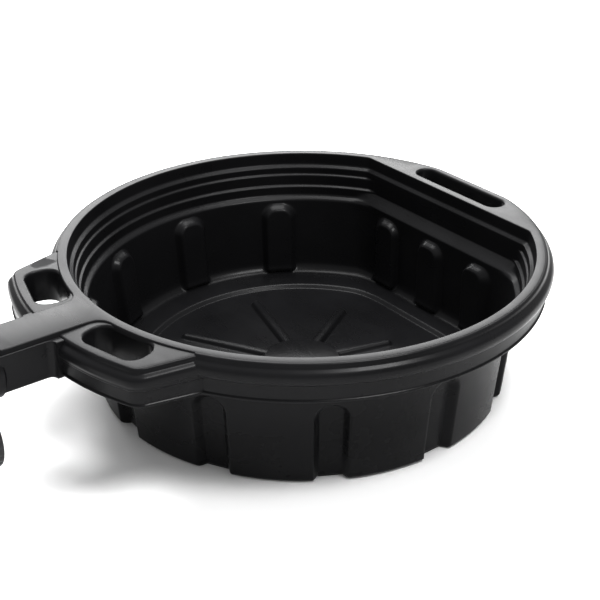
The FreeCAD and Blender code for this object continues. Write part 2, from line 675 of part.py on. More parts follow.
parts = [
    ("pan", pan()),
    ("spout_cap", cap()),
    ("cap_gasket", tube_along_x("cap_gasket", "gasket_outer", "gasket_inner", "- cap_roof", "gasket_thick",
                                "cap_high")),
    ("tether_neck_ring", neck_ring()),
    ("tether_strap_upper", strap_half("tether_strap_upper", True)),
    ("tether_strap_lower", strap_tail()),
    ("tether_eye", eye()),
]
doc.recompute()

for thing in doc.Objects:
    for word in ("Invalid", "Error"):
        if word in thing.State:
            raise RuntimeError(f"{thing.Name} is {word}")
for name, thing in parts:
    if thing.Shape.isNull() or not thing.Shape.isValid():
        raise RuntimeError(f"{name} has no good shape")

os.makedirs("parts", exist_ok=True)
for name, thing in parts:
    thing.Shape.exportStep(f"parts/{name}.step")
    box = thing.Shape.BoundBox
    low = f"{box.XMin:.1f} {box.YMin:.1f} {box.ZMin:.1f}"
    high = f"{box.XMax:.1f} {box.YMax:.1f} {box.ZMax:.1f}"
    print(f"{name}: {len(thing.Shape.Solids)} solid, {thing.Shape.Volume / 1000:.1f} cm3, {low} to {high}")
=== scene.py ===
import math

import bmesh
import bpy
import numpy as np
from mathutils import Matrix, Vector
from mathutils.geometry import delaunay_2d_cdt


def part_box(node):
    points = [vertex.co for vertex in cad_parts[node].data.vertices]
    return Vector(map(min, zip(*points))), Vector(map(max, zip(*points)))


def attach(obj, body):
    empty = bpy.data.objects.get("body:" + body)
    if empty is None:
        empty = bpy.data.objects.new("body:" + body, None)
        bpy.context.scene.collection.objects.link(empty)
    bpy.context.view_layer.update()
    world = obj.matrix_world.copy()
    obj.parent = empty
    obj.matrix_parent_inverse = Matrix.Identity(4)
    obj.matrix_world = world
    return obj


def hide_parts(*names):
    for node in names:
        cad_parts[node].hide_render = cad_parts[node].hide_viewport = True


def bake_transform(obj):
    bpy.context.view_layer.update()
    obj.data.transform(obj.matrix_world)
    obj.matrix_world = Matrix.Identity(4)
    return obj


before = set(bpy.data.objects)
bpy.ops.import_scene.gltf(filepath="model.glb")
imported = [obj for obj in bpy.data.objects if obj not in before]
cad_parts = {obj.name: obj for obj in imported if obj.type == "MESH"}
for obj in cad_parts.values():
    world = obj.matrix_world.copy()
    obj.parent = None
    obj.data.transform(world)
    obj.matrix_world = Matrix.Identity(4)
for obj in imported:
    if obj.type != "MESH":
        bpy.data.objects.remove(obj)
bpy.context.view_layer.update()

# An 18 inch oil drain pan with its screw cap hanging from the spout. Lengths are in millimetres, in the
# CAD model's frame (+Z up, spout towards -X, flat side towards +X), and become metres in add_piece.
MM = 0.001

# ---- sizes ----

RIM = 133.0                 # top of the rim
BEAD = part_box("pan")[1].x / MM          # outermost radius of the rim
LAND = BEAD - 7.5           # outer edge of the rim's flat top
WALL = 3.0
FLOOR = 2.6                 # upper side of the floor
SKIRT_LOW = 98.0
RIB_DEEP = 7.5
RIB_HALF = 12.5
RIB_RADIUS = 190.0          # where the round wall's ribs are measured
FLAT_WALL = 164.0           # distance of the flat wall
RIB_TOP = 80.0
RIB_ANGLES = [60.0 + 30.0 * index for index in range(9)]
RIB_PLACES = [-67.0, 0.0, 67.0]         # ribs of the flat wall, along Y
GRIP_TOP = 129.4            # grips' flat top before add_grip tilts it up towards the rim
GRIP_LIFT = 2.2             # how much the tilt raises it at the rim
GRIP_FALL = 1.4             # how much less at the grips' outer edge
GRIP_ROOT = (-180.0, 122.5)             # the left grip's slanted end runs through these two points
GRIP_TIP = (-280.0, 99.8)
GRIP_BEND = 18.0            # rounding of the grips' outer corner
GRIP_START = 219.0          # the grips' outline starts at this radius, under the rim
GRIP_INNER = 217.5          # and their plates are closed along this one
GRIP_SKIRT = 5.6            # how far out the skirt hangs, on the grips
RIM_SKIRT = 2.4             # and on the rim
ROLL_START = 2.4            # where the rolled edge leaves the flat top, in from the land's edge
BEAD_END = 149.2            # the bead runs this many degrees from +X, as far as the grips
GRIP_OUT = 264.0
GRIP_EDGE = 6.5             # how far the grips' skirt stands beyond their flat top
SLOT_MIDDLE = 235.5
SLOT_ANGLE = 14.75
SLOT_SIZE = (29.0, 62.0, 12.0)          # across, along, corner radius
FAR_SLOT_X = 198.2
FAR_FLAT = 215.3            # the land's straight edge beside this slot
FAR_SLOT_SIZE = (20.5, 115.0, 10.0)
STRIP_HALF = 20.0           # half width of the spout's top strip
SPOUT_HALF = 23.0
SPOUT_LOW = 94.5
SPOUT_END = 311.0
CHANNEL = (18.0, 98.5, 127.0)           # half width, floor and roof of the pouring channel
NECK_AXIS = 109.5
CAP_AXIS = 50.0
RING_X = -SPOUT_END - 6.0   # middle of the tether's ring, in the neck's groove


# ---- drawing with rows of points ----

def rounded(corners, steps=6):
    """A path through corners, each (point, radius), with its corners rounded; points have any dimension."""
    points = [np.array(point, float) for point, _ in corners]
    path = [points[0]]
    for index in range(1, len(points) - 1):
        before, here, after = points[index - 1], points[index], points[index + 1]
        radius = corners[index][1]
        long_in = np.linalg.norm(here - before)
        long_out = np.linalg.norm(after - here)
        reach = min(radius, long_in * 0.49, long_out * 0.49)
        if reach < 0.05:
            path.append(here)
            continue
        start = here + (before - here) * reach / long_in
        end = here + (after - here) * reach / long_out
        for part in np.linspace(0.0, 1.0, steps):
            path.append((1 - part) ** 2 * start + 2 * part * (1 - part) * here + part ** 2 * end)
    path.append(points[-1])
    return np.array(path)


def split_long(path, longest):
    """More points on a path, so that no stretch is longer than asked."""
    result = [path[0]]
    for start, end in zip(path[:-1], path[1:]):
        count = max(1, math.ceil(np.linalg.norm(end - start) / longest))
        for part in range(1, count + 1):
            result.append(start + (end - start) * part / count)
    return np.array(result)


class Sheet:
    """Points and faces of one piece, in millimetres."""

    def __init__(self):
        self.mesh = bmesh.new()

    def rows(self, rows, closed=True, flip=False):
        """Quads between rows of points; closed joins each row's ends. Returns the rows' vertices."""
        made = [[self.mesh.verts.new(point) for point in row] for row in rows]
        count = len(made[0])
        for low, high in zip(made[:-1], made[1:]):
            for index in range(count if closed else count - 1):
                following = (index + 1) % count
                corners = [low[index], low[following], high[following], high[index]]
                self.mesh.faces.new(corners[::-1] if flip else corners).smooth = True
        return made

    def fill(self, outlines, height, down=False):
        """A flat area between closed outlines: the first is the outer one and the others are holes."""
        points = []
        edges = []
        for outline in outlines:
            first = len(points)
            points += [Vector((point[0], point[1])) for point in outline]
            count = len(outline)
            edges += [(first + index, first + (index + 1) % count) for index in range(count)]
        holes = [polygon_test(outline) for outline in outlines[1:]]
        inside = polygon_test(outlines[0])
        flat, _, faces, _, _, _ = delaunay_2d_cdt(points, edges, [], 0, 1e-4)
        verts = [self.mesh.verts.new((point.x, point.y, height)) for point in flat]
        for face in faces:
            middle = sum((flat[index] for index in face), Vector((0.0, 0.0))) / len(face)
            if not inside(middle) or any(hole(middle) for hole in holes):
                continue
            corners = [verts[index] for index in face]
            self.mesh.faces.new(corners[::-1] if down else corners)

    def weld(self, distance=0.02):
        bmesh.ops.remove_doubles(self.mesh, verts=self.mesh.verts, dist=distance)
        loose = [vert for vert in self.mesh.verts if not vert.link_faces]
        bmesh.ops.delete(self.mesh, geom=loose, context="VERTS")


def polygon_test(outline):
    """A function that says whether a point is inside a closed outline."""
    line = np.array([(point[0], point[1]) for point in outline], float)
    after = np.roll(line, -1, axis=0)

    def inside(point):
        crosses = (line[:, 1] > point[1]) != (after[:, 1] > point[1])
        height = np.where(after[:, 1] == line[:, 1], 1.0, after[:, 1] - line[:, 1])
        across = line[:, 0] + (point[1] - line[:, 1]) / height * (after[:, 0] - line[:, 0])
        return bool(np.count_nonzero(crosses & (point[0] < across)) % 2)

    return inside


def turned(profile, axis_point, count, wobble=None):
    """Rows of a profile (along, radius) turned about an axis that runs along X through axis_point."""
    rows = []
    for along, radius in profile:
        row = []
        for index in range(count):
            angle = 2 * math.pi * index / count
            size = radius + (wobble(along, radius, angle) if wobble else 0.0)
            across = axis_point[0] + size * math.cos(angle)
            row.append((along, across, axis_point[1] + size * math.sin(angle)))
        rows.append(row)
    return rows


def smooth(value):
    part = np.clip(value, 0.0, 1.0)
    return part * part * (3 - 2 * part)


# ---- the tub ----

def rib_cover(offset, height, half, top):
    """1 on a rib and 0 off it; offset is measured across the rib from its middle."""
    slope = 6.5
    corner = min(half, 12.5)
    across = np.maximum(np.abs(offset) - (half - corner), 0.0)
    above = np.maximum(height - (top - corner), 0.0)
    outside = np.hypot(across, above) - corner
    return smooth(0.5 - outside / slope)


def tub_angles():
    """Directions of the tub's columns, close together where a rib or a corner needs them."""
    fine = set(np.arange(0.0, 360.0, 1.5))
    offsets = np.concatenate([
        np.arange(-22.0, -5.0, 1.2), np.arange(-5.0, 5.1, 2.5), np.arange(6.2, 22.1, 1.2)])
    for middle in RIB_ANGLES:
        fine |= set(np.round(middle + np.degrees(offsets / RIB_RADIUS), 3))
    for place in RIB_PLACES:
        fine |= set(np.round(np.degrees(np.arctan2(place + offsets, FLAT_WALL)) % 360.0, 3))
    for corner in (32.0, 328.0):
        fine |= set(np.arange(corner - 5.0, corner + 5.1, 0.5))
    channel = math.degrees(math.asin(CHANNEL[0] / 206.0))
    fine |= {180.0 - channel, 180.0 + channel}
    angles = []
    for angle in sorted(fine):
        if not angles or angle - angles[-1] > 0.12:
            angles.append(angle)
    return np.radians(np.array(angles))


ANGLES = tub_angles()


def tub_row(radius, flat, height, grow, corner):
    """One level of the tub: a circle cut by the flat side, drawn in where ribs stand.

    grow is the wall's thickness on the outer surface, and corner how softly the flat side meets the round."""
    facing = np.maximum(np.cos(ANGLES), 0.02)
    half = RIB_HALF + (0.0 if grow else WALL)
    top = RIB_TOP - grow
    round_in = np.zeros(len(ANGLES))
    for middle in RIB_ANGLES:
        turn = (ANGLES - math.radians(middle) + math.pi) % (2 * math.pi) - math.pi
        round_in = np.maximum(round_in, rib_cover(turn * RIB_RADIUS, height, half, top))
    along = flat * np.tan(np.clip(np.where(np.cos(ANGLES) > 0, ANGLES, 0.0), -7, 7))
    flat_in = np.zeros(len(ANGLES))
    for place in RIB_PLACES:
        flat_in = np.maximum(flat_in, rib_cover(along - place, height, half, top))
    taken = smooth((radius - 181.0) / 6.0)
    on_round = radius - RIB_DEEP * round_in * taken
    on_flat = np.where(np.cos(ANGLES) > 0.02, (flat - RIB_DEEP * flat_in * taken) / facing, 1e4)
    mix = np.clip(0.5 + 0.5 * (on_flat - on_round) / corner, 0.0, 1.0)
    size = on_flat * (1 - mix) + on_round * mix - corner * mix * (1 - mix)
    return np.stack([size * np.cos(ANGLES), size * np.sin(ANGLES), np.full(len(ANGLES), height)], axis=1)


# radius on the round side, distance of the flat side, height and rounding
INNER_PROFILE = [
    ((149.0, 134.0, FLOOR), 0.0), ((151.0, 136.0, FLOOR), 1.5), ((155.0, 140.0, 6.2), 2.0),
    ((181.0, 158.0, 6.6), 5.0), ((187.6, 164.0, 13.0), 5.0), ((196.0, 164.0, 86.0), 3.0),
    ((198.7, 164.0, 88.0), 1.5), ((201.5, 166.2, 90.0), 2.0), ((201.5, 174.0, 97.0), 2.0),
    ((201.5, 174.0, 98.6), 0.8), ((204.5, 174.0, 100.4), 0.9), ((204.5, 174.0, 110.6), 0.9),
    ((207.0, 174.0, 112.2), 0.9), ((207.0, 174.0, 118.4), 0.9), ((211.0, 177.4, 121.2), 1.2),
    ((212.0, 177.8, RIM), 1.4), ((216.0, 181.6, RIM), 0.0)]
OUTER_PROFILE = [
    ((149.0, 134.0, 0.0), 0.0), ((154.0, 139.0, 0.0), 1.5), ((158.0, 143.0, 3.0), 1.5),
    ((179.5, 156.0, 3.0), 1.5), ((181.5, 158.5, 0.0), 1.0), ((188.1, 164.5, 0.0), 2.0),
    ((190.6, 167.0, 2.5), 1.5), ((199.0, 167.0, 84.0), 1.5), ((204.5, 169.4, 87.0), 1.5),
    ((204.5, 177.0, 94.0), 1.5), ((204.5, 177.0, 96.5), 0.8), ((207.5, 177.0, 96.7), 0.8),
    ((207.5, 177.0, 109.0), 0.8), ((210.0, 177.0, 109.2), 0.8), ((210.0, 177.0, 117.0), 0.8),
    ((214.0, 180.6, 117.2), 0.8), ((215.0, 180.6, 130.0), 0.5), ((217.0, 182.6, 130.0), 0.0)]


def tub_rows(profile, grow):
    rows = []
    for radius, flat, height in split_long(rounded(profile), 9.0):
        rows.append((radius, flat, height))
    top = RIB_TOP - grow
    levels = [row for row in rows if not (top - 16.0 < row[2] < top + 5.0)]
    low = max((row for row in levels if row[2] <= top - 16.0), key=lambda row: row[2])
    high = min((row for row in levels if row[2] >= top + 5.0), key=lambda row: row[2])
    place = levels.index(high)
    extra = []
    for height in np.arange(top - 16.0, top + 4.9, 1.25):
        part = (height - low[2]) / (high[2] - low[2])
        extra.append((low[0] + (high[0] - low[0]) * part, low[1] + (high[1] - low[1]) * part, height))
    levels = levels[:place] + extra + levels[place:]
    made = []
    for radius, flat, height in levels:
        corner = 11.0 - 9.0 * float(smooth((height - 84.0) / 14.0))
        made.append(tub_row(radius, flat, height, grow, corner))
    return made


def floor_outline(inset):
    """The edge of the floor's raised disc and bars; inset draws it in."""
    disc = 40.0 - inset
    half = 6.0 - inset
    reaches = {0: 110.0, 7: 95.0}
    points = []
    for index in range(8):
        angle = math.radians(30.0 + 45.0 * index)
        end = reaches.get(index, 128.0) - 5.0
        open_angle = math.asin(half / disc)
        start = math.radians(30.0 + 45.0 * (index - 1)) + open_angle
        for part in np.linspace(0.0, 1.0, 9)[1:]:
            turn = start + (angle - open_angle - start) * part
            points.append((disc * math.cos(turn), disc * math.sin(turn)))
        side = [(end, -half)]
        side += [(end + half * math.sin(turn), -half * math.cos(turn))
                 for turn in np.linspace(0, math.pi, 13)[1:-1]]
        side += [(end, half), (disc * math.cos(open_angle), half)]
        for along, across in side:
            points.append((along * math.cos(angle) - across * math.sin(angle),
                           along * math.sin(angle) + across * math.cos(angle)))
    return points


def add_floor(sheet, ring):
    """The floor inside the ledge, with its raised disc and bars."""
    relief = [(-1.0, 0.0), (-0.2, 0.15), (0.5, 0.7), (1.4, 2.2), (2.1, 3.0), (3.0, 3.6), (4.2, 4.0)]
    outlines = [[(x, y, FLOOR + rise) for x, y in floor_outline(inset)] for inset, rise in relief]
    sheet.rows(outlines)
    sheet.fill([outlines[-1]], FLOOR + 4.0)
    sheet.fill([ring, outlines[0]], FLOOR)


def cut_channel(sheet):
    """Open the wall at the spout, and run the square pouring channel out to the neck."""
    half, low, high = CHANNEL
    hole = []
    for face in sheet.mesh.faces:
        middle = face.calc_center_median()
        if middle.x < -198.0 and abs(middle.y) < half and low + 1.0 < middle.z < high - 1.0:
            hole.append(face)
    inside = set(hole)
    rim = [edge for face in hole for edge in face.edges
           if any(other not in inside for other in edge.link_faces)]
    bmesh.ops.delete(sheet.mesh, geom=hole, context="FACES_ONLY")
    rim = [edge for edge in set(rim) if edge.is_valid]
    for place in (-216.0, -SPOUT_END + 3.0):
        result = bmesh.ops.extrude_edge_only(sheet.mesh, edges=rim)
        rim = [item for item in result["geom"] if isinstance(item, bmesh.types.BMEdge)]
        for vert in {vert for edge in rim for vert in edge.verts}:
            vert.co.x = place
            if vert.co.z < low + 3.0:
                vert.co.z = low
            elif vert.co.z > high - 3.0:
                vert.co.z = high
            if abs(vert.co.y) > half - 1.6:
                vert.co.y = math.copysign(half, vert.co.y)


# ---- the rim, grips and spout ----

def arc(radius, start, end, count):
    return [(radius * math.cos(turn), radius * math.sin(turn))
            for turn in np.radians(np.linspace(start, end, count))]


def slot_outline(size, middle, angle, grow):
    """A slot's edge, grown outwards; its long side runs around the pan."""
    wide, long, corner = size
    radius = corner + grow
    half_wide = wide / 2 + grow
    half_long = long / 2 + grow
    turn = math.radians(angle)
    points = []
    for quarter, (side, end) in enumerate(((1, 1), (-1, 1), (-1, -1), (1, -1))):
        for part in np.linspace(0, 90, 9):
            bend = math.radians(part + 90 * quarter)
            x = side * (half_wide - radius) + radius * math.cos(bend)
            y = end * (half_long - radius) + radius * math.sin(bend)
            points.append((x, y))
    centre = (middle * math.cos(turn), middle * math.sin(turn))
    return [(centre[0] + x * math.cos(turn) - y * math.sin(turn),
             centre[1] + x * math.sin(turn) + y * math.cos(turn)) for x, y in points]


def add_slot(sheet, size, middle, angle, top, low):
    """The slot's rounded edge and its sleeve, inside and outside."""
    profile = [(2.4, top), (1.5, top - 0.2), (0.7, top - 0.8), (0.2, top - 1.7), (0.0, top - 2.8),
               (0.0, (top + low) / 2),
               (0.3, low + 1.0), (0.8, low), (2.6, low), (3.0, low + 0.6), (3.0, top - WALL)]
    rows = [[(x, y, height) for x, y in slot_outline(size, middle, angle, grow)] for grow, height in profile]
    sheet.rows(rows)
    return rows[0]


def strip_outline(grow):
    """The high part of the deck: the rim's land and the spout's top strip, which leaves it in a curve."""
    land = LAND + grow
    half = STRIP_HALF + grow
    bend = 14.0 - grow
    centre_y = half + bend
    centre_x = -math.sqrt((land + bend) ** 2 - centre_y ** 2)
    leave = math.degrees(math.atan2(centre_y, -centre_x))
    points = [(flattened(x, FAR_FLAT + grow), y) for x, y in arc(land, -180.0 + leave, 180.0 - leave, 241)]
    bent = [(centre_x + bend * math.cos(turn), centre_y + bend * math.sin(turn))
            for turn in np.radians(np.linspace(-leave, -90.0, 12)[1:])]
    end = -(SPOUT_END - 2.0 + grow)
    sides = split_long(np.array([bent[-1], (end + 2.0, half)]), 12.0)[1:].tolist()
    tip = [(end, half - 2.0), (end, -(half - 2.0))]
    back = [(x, -y) for x, y in sides[::-1]]
    mirrored = [(x, -y) for x, y in bent[::-1]]
    return points + bent + sides + tip + back + mirrored


def add_land(sheet, mouth):
    """The flat top of the rim and spout, and the short drop at its outer edge."""
    profile = [(-0.9, RIM), (-0.35, RIM - 0.12), (0.15, RIM - 0.55), (0.45, RIM - 1.2), (1.5, RIM - 4.2)]
    rows = [[(x, y, height) for x, y in strip_outline(grow)] for grow, height in profile]
    sheet.rows(rows, flip=True)
    slot = add_slot(sheet, FAR_SLOT_SIZE, FAR_SLOT_X, 0.0, RIM, 101.0)
    sheet.fill([rows[0], mouth, slot], RIM)


def edge_profile(top, skirt):
    """The rolled edge, its bulge and the skirt with two lips: out from the land's edge, and height.

    skirt is how far out the skirt hangs."""
    lower = RIM - top
    return rounded([
        ((-ROLL_START, top - 0.04), 0.0), ((1.9, top - 0.3), 2.4), ((3.0, top - 4.4), 1.2),
        ((7.4, RIM - 7.6 - 0.8 * lower), 3.4), ((8.3, RIM - 13.0 - 0.6 * lower), 4.0),
        ((7.0, 116.0 - 0.3 * lower), 1.5), ((skirt + 1.2, 114.8 - 0.3 * lower), 0.7),
        ((skirt + 1.1, 114.0 - 0.3 * lower), 0.5), ((skirt, 113.2 - 0.3 * lower), 0.6),
        ((skirt - 0.5, 100.8), 0.5),
        ((skirt + 0.8, 99.8), 0.5), ((skirt + 0.8, 98.6), 0.4), ((skirt, SKIRT_LOW), 0.5),
        ((skirt - 2.6, SKIRT_LOW), 0.5), ((skirt - 3.0, 99.0), 0.5), ((skirt - 3.0, top - WALL), 1.0),
        ((-ROLL_START, top - WALL), 0.0)], 8)


def flattened(x, limit):
    """The round outline is cut straight beside the slot on the flat side."""
    return x - 0.5 * (x - limit + math.hypot(x - limit, 0.8) - 0.35)


def add_bead(sheet):
    """The bead and skirt around the rim as far as the grips, and the deck's underside."""
    rows = []
    for out, height in edge_profile(RIM, RIM_SKIRT):
        outline = arc(LAND + out, -BEAD_END, BEAD_END, 331)
        rows.append([(flattened(x, FAR_FLAT + out), y, height) for x, y in outline])
    sheet.rows(rows, closed=False, flip=True)
    inset = ROLL_START
    under = [(flattened(x, FAR_FLAT - inset), y) for x, y in arc(LAND - inset, 0.0, 360.0, 361)[:-1]]
    tub = [(x, y) for x, y, _ in tub_row(215.0, 180.6, RIM - WALL, WALL, 2.0)]
    far = slot_outline(FAR_SLOT_SIZE, FAR_SLOT_X, 0.0, 3.0)
    sheet.fill([under, tub, far], RIM - WALL, down=True)


def grip_path(inset):
    """The outer edge of the left grip, from inside the rim round to inside the spout."""
    radius = GRIP_OUT - inset
    bend = GRIP_BEND - inset
    root = np.array(GRIP_ROOT)
    tip = np.array(GRIP_TIP)
    along = (tip - root) / np.linalg.norm(tip - root)
    across = np.array([along[1], -along[0]])
    if across[1] > 0:
        across = -across
    inner_root = root + across * (inset + bend)
    # the corner's centre is bend inside the line and bend inside the arc
    reach = radius - bend
    middle = inner_root @ along
    far = -middle + math.sqrt(middle ** 2 - (inner_root @ inner_root - reach ** 2))
    centre = inner_root + along * far
    line_end = centre - across * bend
    turn_start = math.atan2(-across[1], -across[0])
    turn_end = math.atan2(centre[1], centre[0])
    reach_start = math.sqrt(GRIP_START ** 2 - (line_end @ across) ** 2)
    start = line_end + along * (reach_start - line_end @ along)
    points = split_long(np.array([start, line_end]), 8.0).tolist()
    for turn in np.linspace(turn_start, turn_end, 12)[1:]:
        points.append((centre[0] + bend * math.cos(turn), centre[1] + bend * math.sin(turn)))
    last = 180.0 - math.degrees(math.asin(16.0 / radius))
    points += arc(radius, math.degrees(turn_end), last, 26)[1:]
    return points


def add_grip(sheet, side):
    """One grip: its plate, its slot and its hanging skirt. side is 1 for +Y and -1 for -Y."""
    profile = edge_profile(GRIP_TOP, GRIP_SKIRT)
    rows = []
    before = set(sheet.mesh.verts)
    for out, height in profile:
        rows.append([(x, side * y, height) for x, y in grip_path(GRIP_EDGE - out)])
    sheet.rows(rows, closed=False, flip=side > 0)
    angle = 180.0 - side * SLOT_ANGLE
    slot = add_slot(sheet, SLOT_SIZE, SLOT_MIDDLE, angle, GRIP_TOP, 101.0)
    sleeve = slot_outline(SLOT_SIZE, SLOT_MIDDLE, angle, 3.0)
    for row, hole, down in ((rows[0], slot, False), (rows[-1], sleeve, True)):
        outer = [(x, y) for x, y, _ in row]
        first = math.degrees(math.atan2(outer[0][1], outer[0][0]))
        last = math.degrees(math.atan2(outer[-1][1], outer[-1][0]))
        inner = arc(GRIP_INNER, last % 360.0, first % 360.0, 30)
        sheet.fill([outer + inner, hole], row[0][2], down=down)
    slant = math.radians(SLOT_ANGLE)
    for vert in set(sheet.mesh.verts) - before:
        out = abs(vert.co.y) * math.sin(slant) - vert.co.x * math.cos(slant)
        lift = GRIP_LIFT - GRIP_FALL * (out - LAND) / (GRIP_OUT - LAND)
        vert.co.z += lift * float(smooth((vert.co.z - 114.0) / 11.0))


def spout_half_width(place):
    """Half width of the spout's body, which flares into the grips in a small curve."""
    bend = 6.0
    start = GRIP_OUT + 1.0 + bend
    if place >= start:
        return SPOUT_HALF
    across = min(start - place, bend)
    return SPOUT_HALF + bend - math.sqrt(max(bend ** 2 - across ** 2, 0.0))


def spout_section(place):
    """The body's outline at a distance from the pan's middle, from one top edge round to the other."""
    half = spout_half_width(place)
    shape = rounded([
        ((STRIP_HALF, RIM - 3.9), 0.0), ((half, RIM - 3.9), 1.2), ((half, SPOUT_LOW), 5.0),
        ((-half, SPOUT_LOW), 5.0), ((-half, RIM - 3.9), 1.2), ((-STRIP_HALF, RIM - 3.9), 0.0)], 7)
    return [(-place, y, z) for y, z in shape]


def add_spout(sheet):
    places = list(np.arange(208.0, 262.0, 9.0)) + list(np.arange(262.0, 272.0, 1.0))
    places += list(np.arange(272.0, SPOUT_END - 1.0, 6.0)) + [SPOUT_END - 1.2]
    rows = [spout_section(place) for place in places]
    last = [(-SPOUT_END, y * 0.95, NECK_AXIS + (z - NECK_AXIS) * 0.95) for _, y, z in rows[-1]]
    made = sheet.rows(rows + [last], closed=False)
    sheet.mesh.faces.new(made[-1][::-1])


def neck_profile():
    """Out from the spout's end: collar, groove, bead, threaded neck and mouth, and back in along the bore."""
    shape = rounded([
        ((-4.0, 24.0), 0.0), ((-2.5, 25.5), 1.0), ((3.0, 25.5), 1.0), ((3.0, 20.5), 0.5), ((9.0, 20.5), 0.5),
        ((9.2, 22.2), 0.6), ((11.0, 22.2), 0.6), ((11.4, 20.5), 0.5),
        ((31.4, 20.4), 0.8), ((32.0, 19.8), 0.5),
        ((32.0, 16.4), 0.5), ((31.4, 16.0), 0.4), ((-2.5, 16.0), 0.0)], 5)
    return [(-SPOUT_END - out, radius) for out, radius in split_long(shape, 0.7)]


def thread(along, radius, angle):
    """A screw thread's ridge, which climbs 5 mm a turn and runs out at both ends."""
    if not 20.0 < radius < 20.6:
        return 0.0
    pitch = 5.0
    out = -along - SPOUT_END
    ends = smooth((out - 12.5) / 1.5) * smooth((30.0 - out) / 1.5)
    phase = (out / pitch - angle / (2 * math.pi)) % 1.0
    ridge = smooth((0.3 - abs(phase - 0.5)) / 0.16)
    return 1.75 * float(ridge * ends)


def build_pan():
    """The whole pan as one moulding."""
    sheet = Sheet()
    inner = tub_rows(INNER_PROFILE, 0.0)
    sheet.rows(inner, flip=True)
    cut_channel(sheet)
    add_floor(sheet, inner[0])
    outer = tub_rows(OUTER_PROFILE, WALL)
    sheet.rows(outer)
    sheet.fill([outer[0]], 0.0, down=True)
    add_land(sheet, inner[-1])
    add_bead(sheet)
    for side in (1, -1):
        add_grip(sheet, side)
    add_spout(sheet)
    sheet.rows(turned(neck_profile(), (0.0, NECK_AXIS), 96, thread), flip=True)
    sheet.weld()
    return sheet


# ---- cap, gasket and tether ----

def build_cap():
    """The hanging screw cap, with finger flutes, an inner thread and the stem that the tether turns on."""
    def surface(along, radius, angle):
        if radius > 26.5 and along < -318.0:
            fade = smooth((-along - 318.2) / 1.6) * smooth((337.0 + along) / 2.5)
            dip = (0.5 + 0.5 * math.cos(24 * angle)) ** 2
            return -0.9 * float(fade) * dip
        if 22.6 < radius < 23.4 and along > -333.0:
            ends = smooth((-along - 318.5) / 1.5) * smooth((332.5 + along) / 1.5)
            phase = ((-along - 318.0) / 5.0 - angle / (2 * math.pi)) % 1.0
            return -0.35 * float(smooth((0.3 - abs(phase - 0.5)) / 0.16) * ends)
        return 0.0

    profile = rounded([
        ((-336.0, 0.01), 0.0), ((-336.0, 23.0), 0.6), ((-317.6, 23.0), 0.3), ((-317.0, 23.5), 0.3),
        ((-317.0, 27.2), 0.6), ((-317.8, 28.0), 0.5), ((-336.4, 28.0), 0.3), ((-339.0, 25.0), 3.0),
        ((-339.0, 5.0), 0.8), ((-342.0, 5.0), 0.4), ((-342.0, 7.6), 0.3), ((-342.6, 8.0), 0.3),
        ((-344.0, 7.6), 0.6), ((-344.5, 6.2), 0.6), ((-344.5, 0.01), 0.0)], 5)
    sheet = Sheet()
    sheet.rows(turned(split_long(profile, 0.9), (0.0, CAP_AXIS), 192, surface), flip=True)
    sheet.weld()
    return sheet


def build_gasket():
    """The cap's flat rubber ring, with two fine raised rings on its face."""
    section = rounded([
        ((-335.9, 13.1), 0.0), ((-334.3, 13.1), 0.3), ((-334.1, 13.5), 0.3), ((-334.3, 16.0), 0.3),
        ((-334.0, 16.6), 0.3), ((-334.3, 17.2), 0.3), ((-334.3, 19.0), 0.3), ((-334.0, 19.6), 0.3),
        ((-334.3, 20.2), 0.3), ((-334.2, 22.0), 0.3), ((-334.6, 22.3), 0.3), ((-335.9, 22.3), 0.0),
        ((-335.9, 13.1), 0.0)], 4)
    sheet = Sheet()
    sheet.rows(turned(section, (0.0, CAP_AXIS), 96), flip=True)
    sheet.weld()
    return sheet


def round_box(half_wide, half_thick, corner, steps=4):
    """A closed section with rounded corners."""
    points = []
    for quarter, (side, end) in enumerate(((1, 1), (-1, 1), (-1, -1), (1, -1))):
        for part in np.linspace(0, 90, steps):
            bend = math.radians(part + 90 * quarter)
            points.append((side * (half_wide - corner) + corner * math.cos(bend),
                           end * (half_thick - corner) + corner * math.sin(bend)))
    return points


def strap_path():
    """The strap's middle line in the XZ plane: out from the neck ring, round the bend, down to the eye."""
    thick = 2.4
    top = 83.6 - thick / 2
    front = -(339.3 + thick / 2)
    bend = 8.0
    centre = (front + bend, top - bend)
    run = [(x, top) for x in np.linspace(RING_X + 2.2, centre[0], 12)]
    turn = [(centre[0] + bend * math.cos(angle), centre[1] + bend * math.sin(angle))
            for angle in np.linspace(math.pi / 2, math.pi, 22)[1:]]
    drop = [(front, z) for z in np.linspace(centre[1], CAP_AXIS + 8.0, 10)[1:]]
    return run + turn + drop


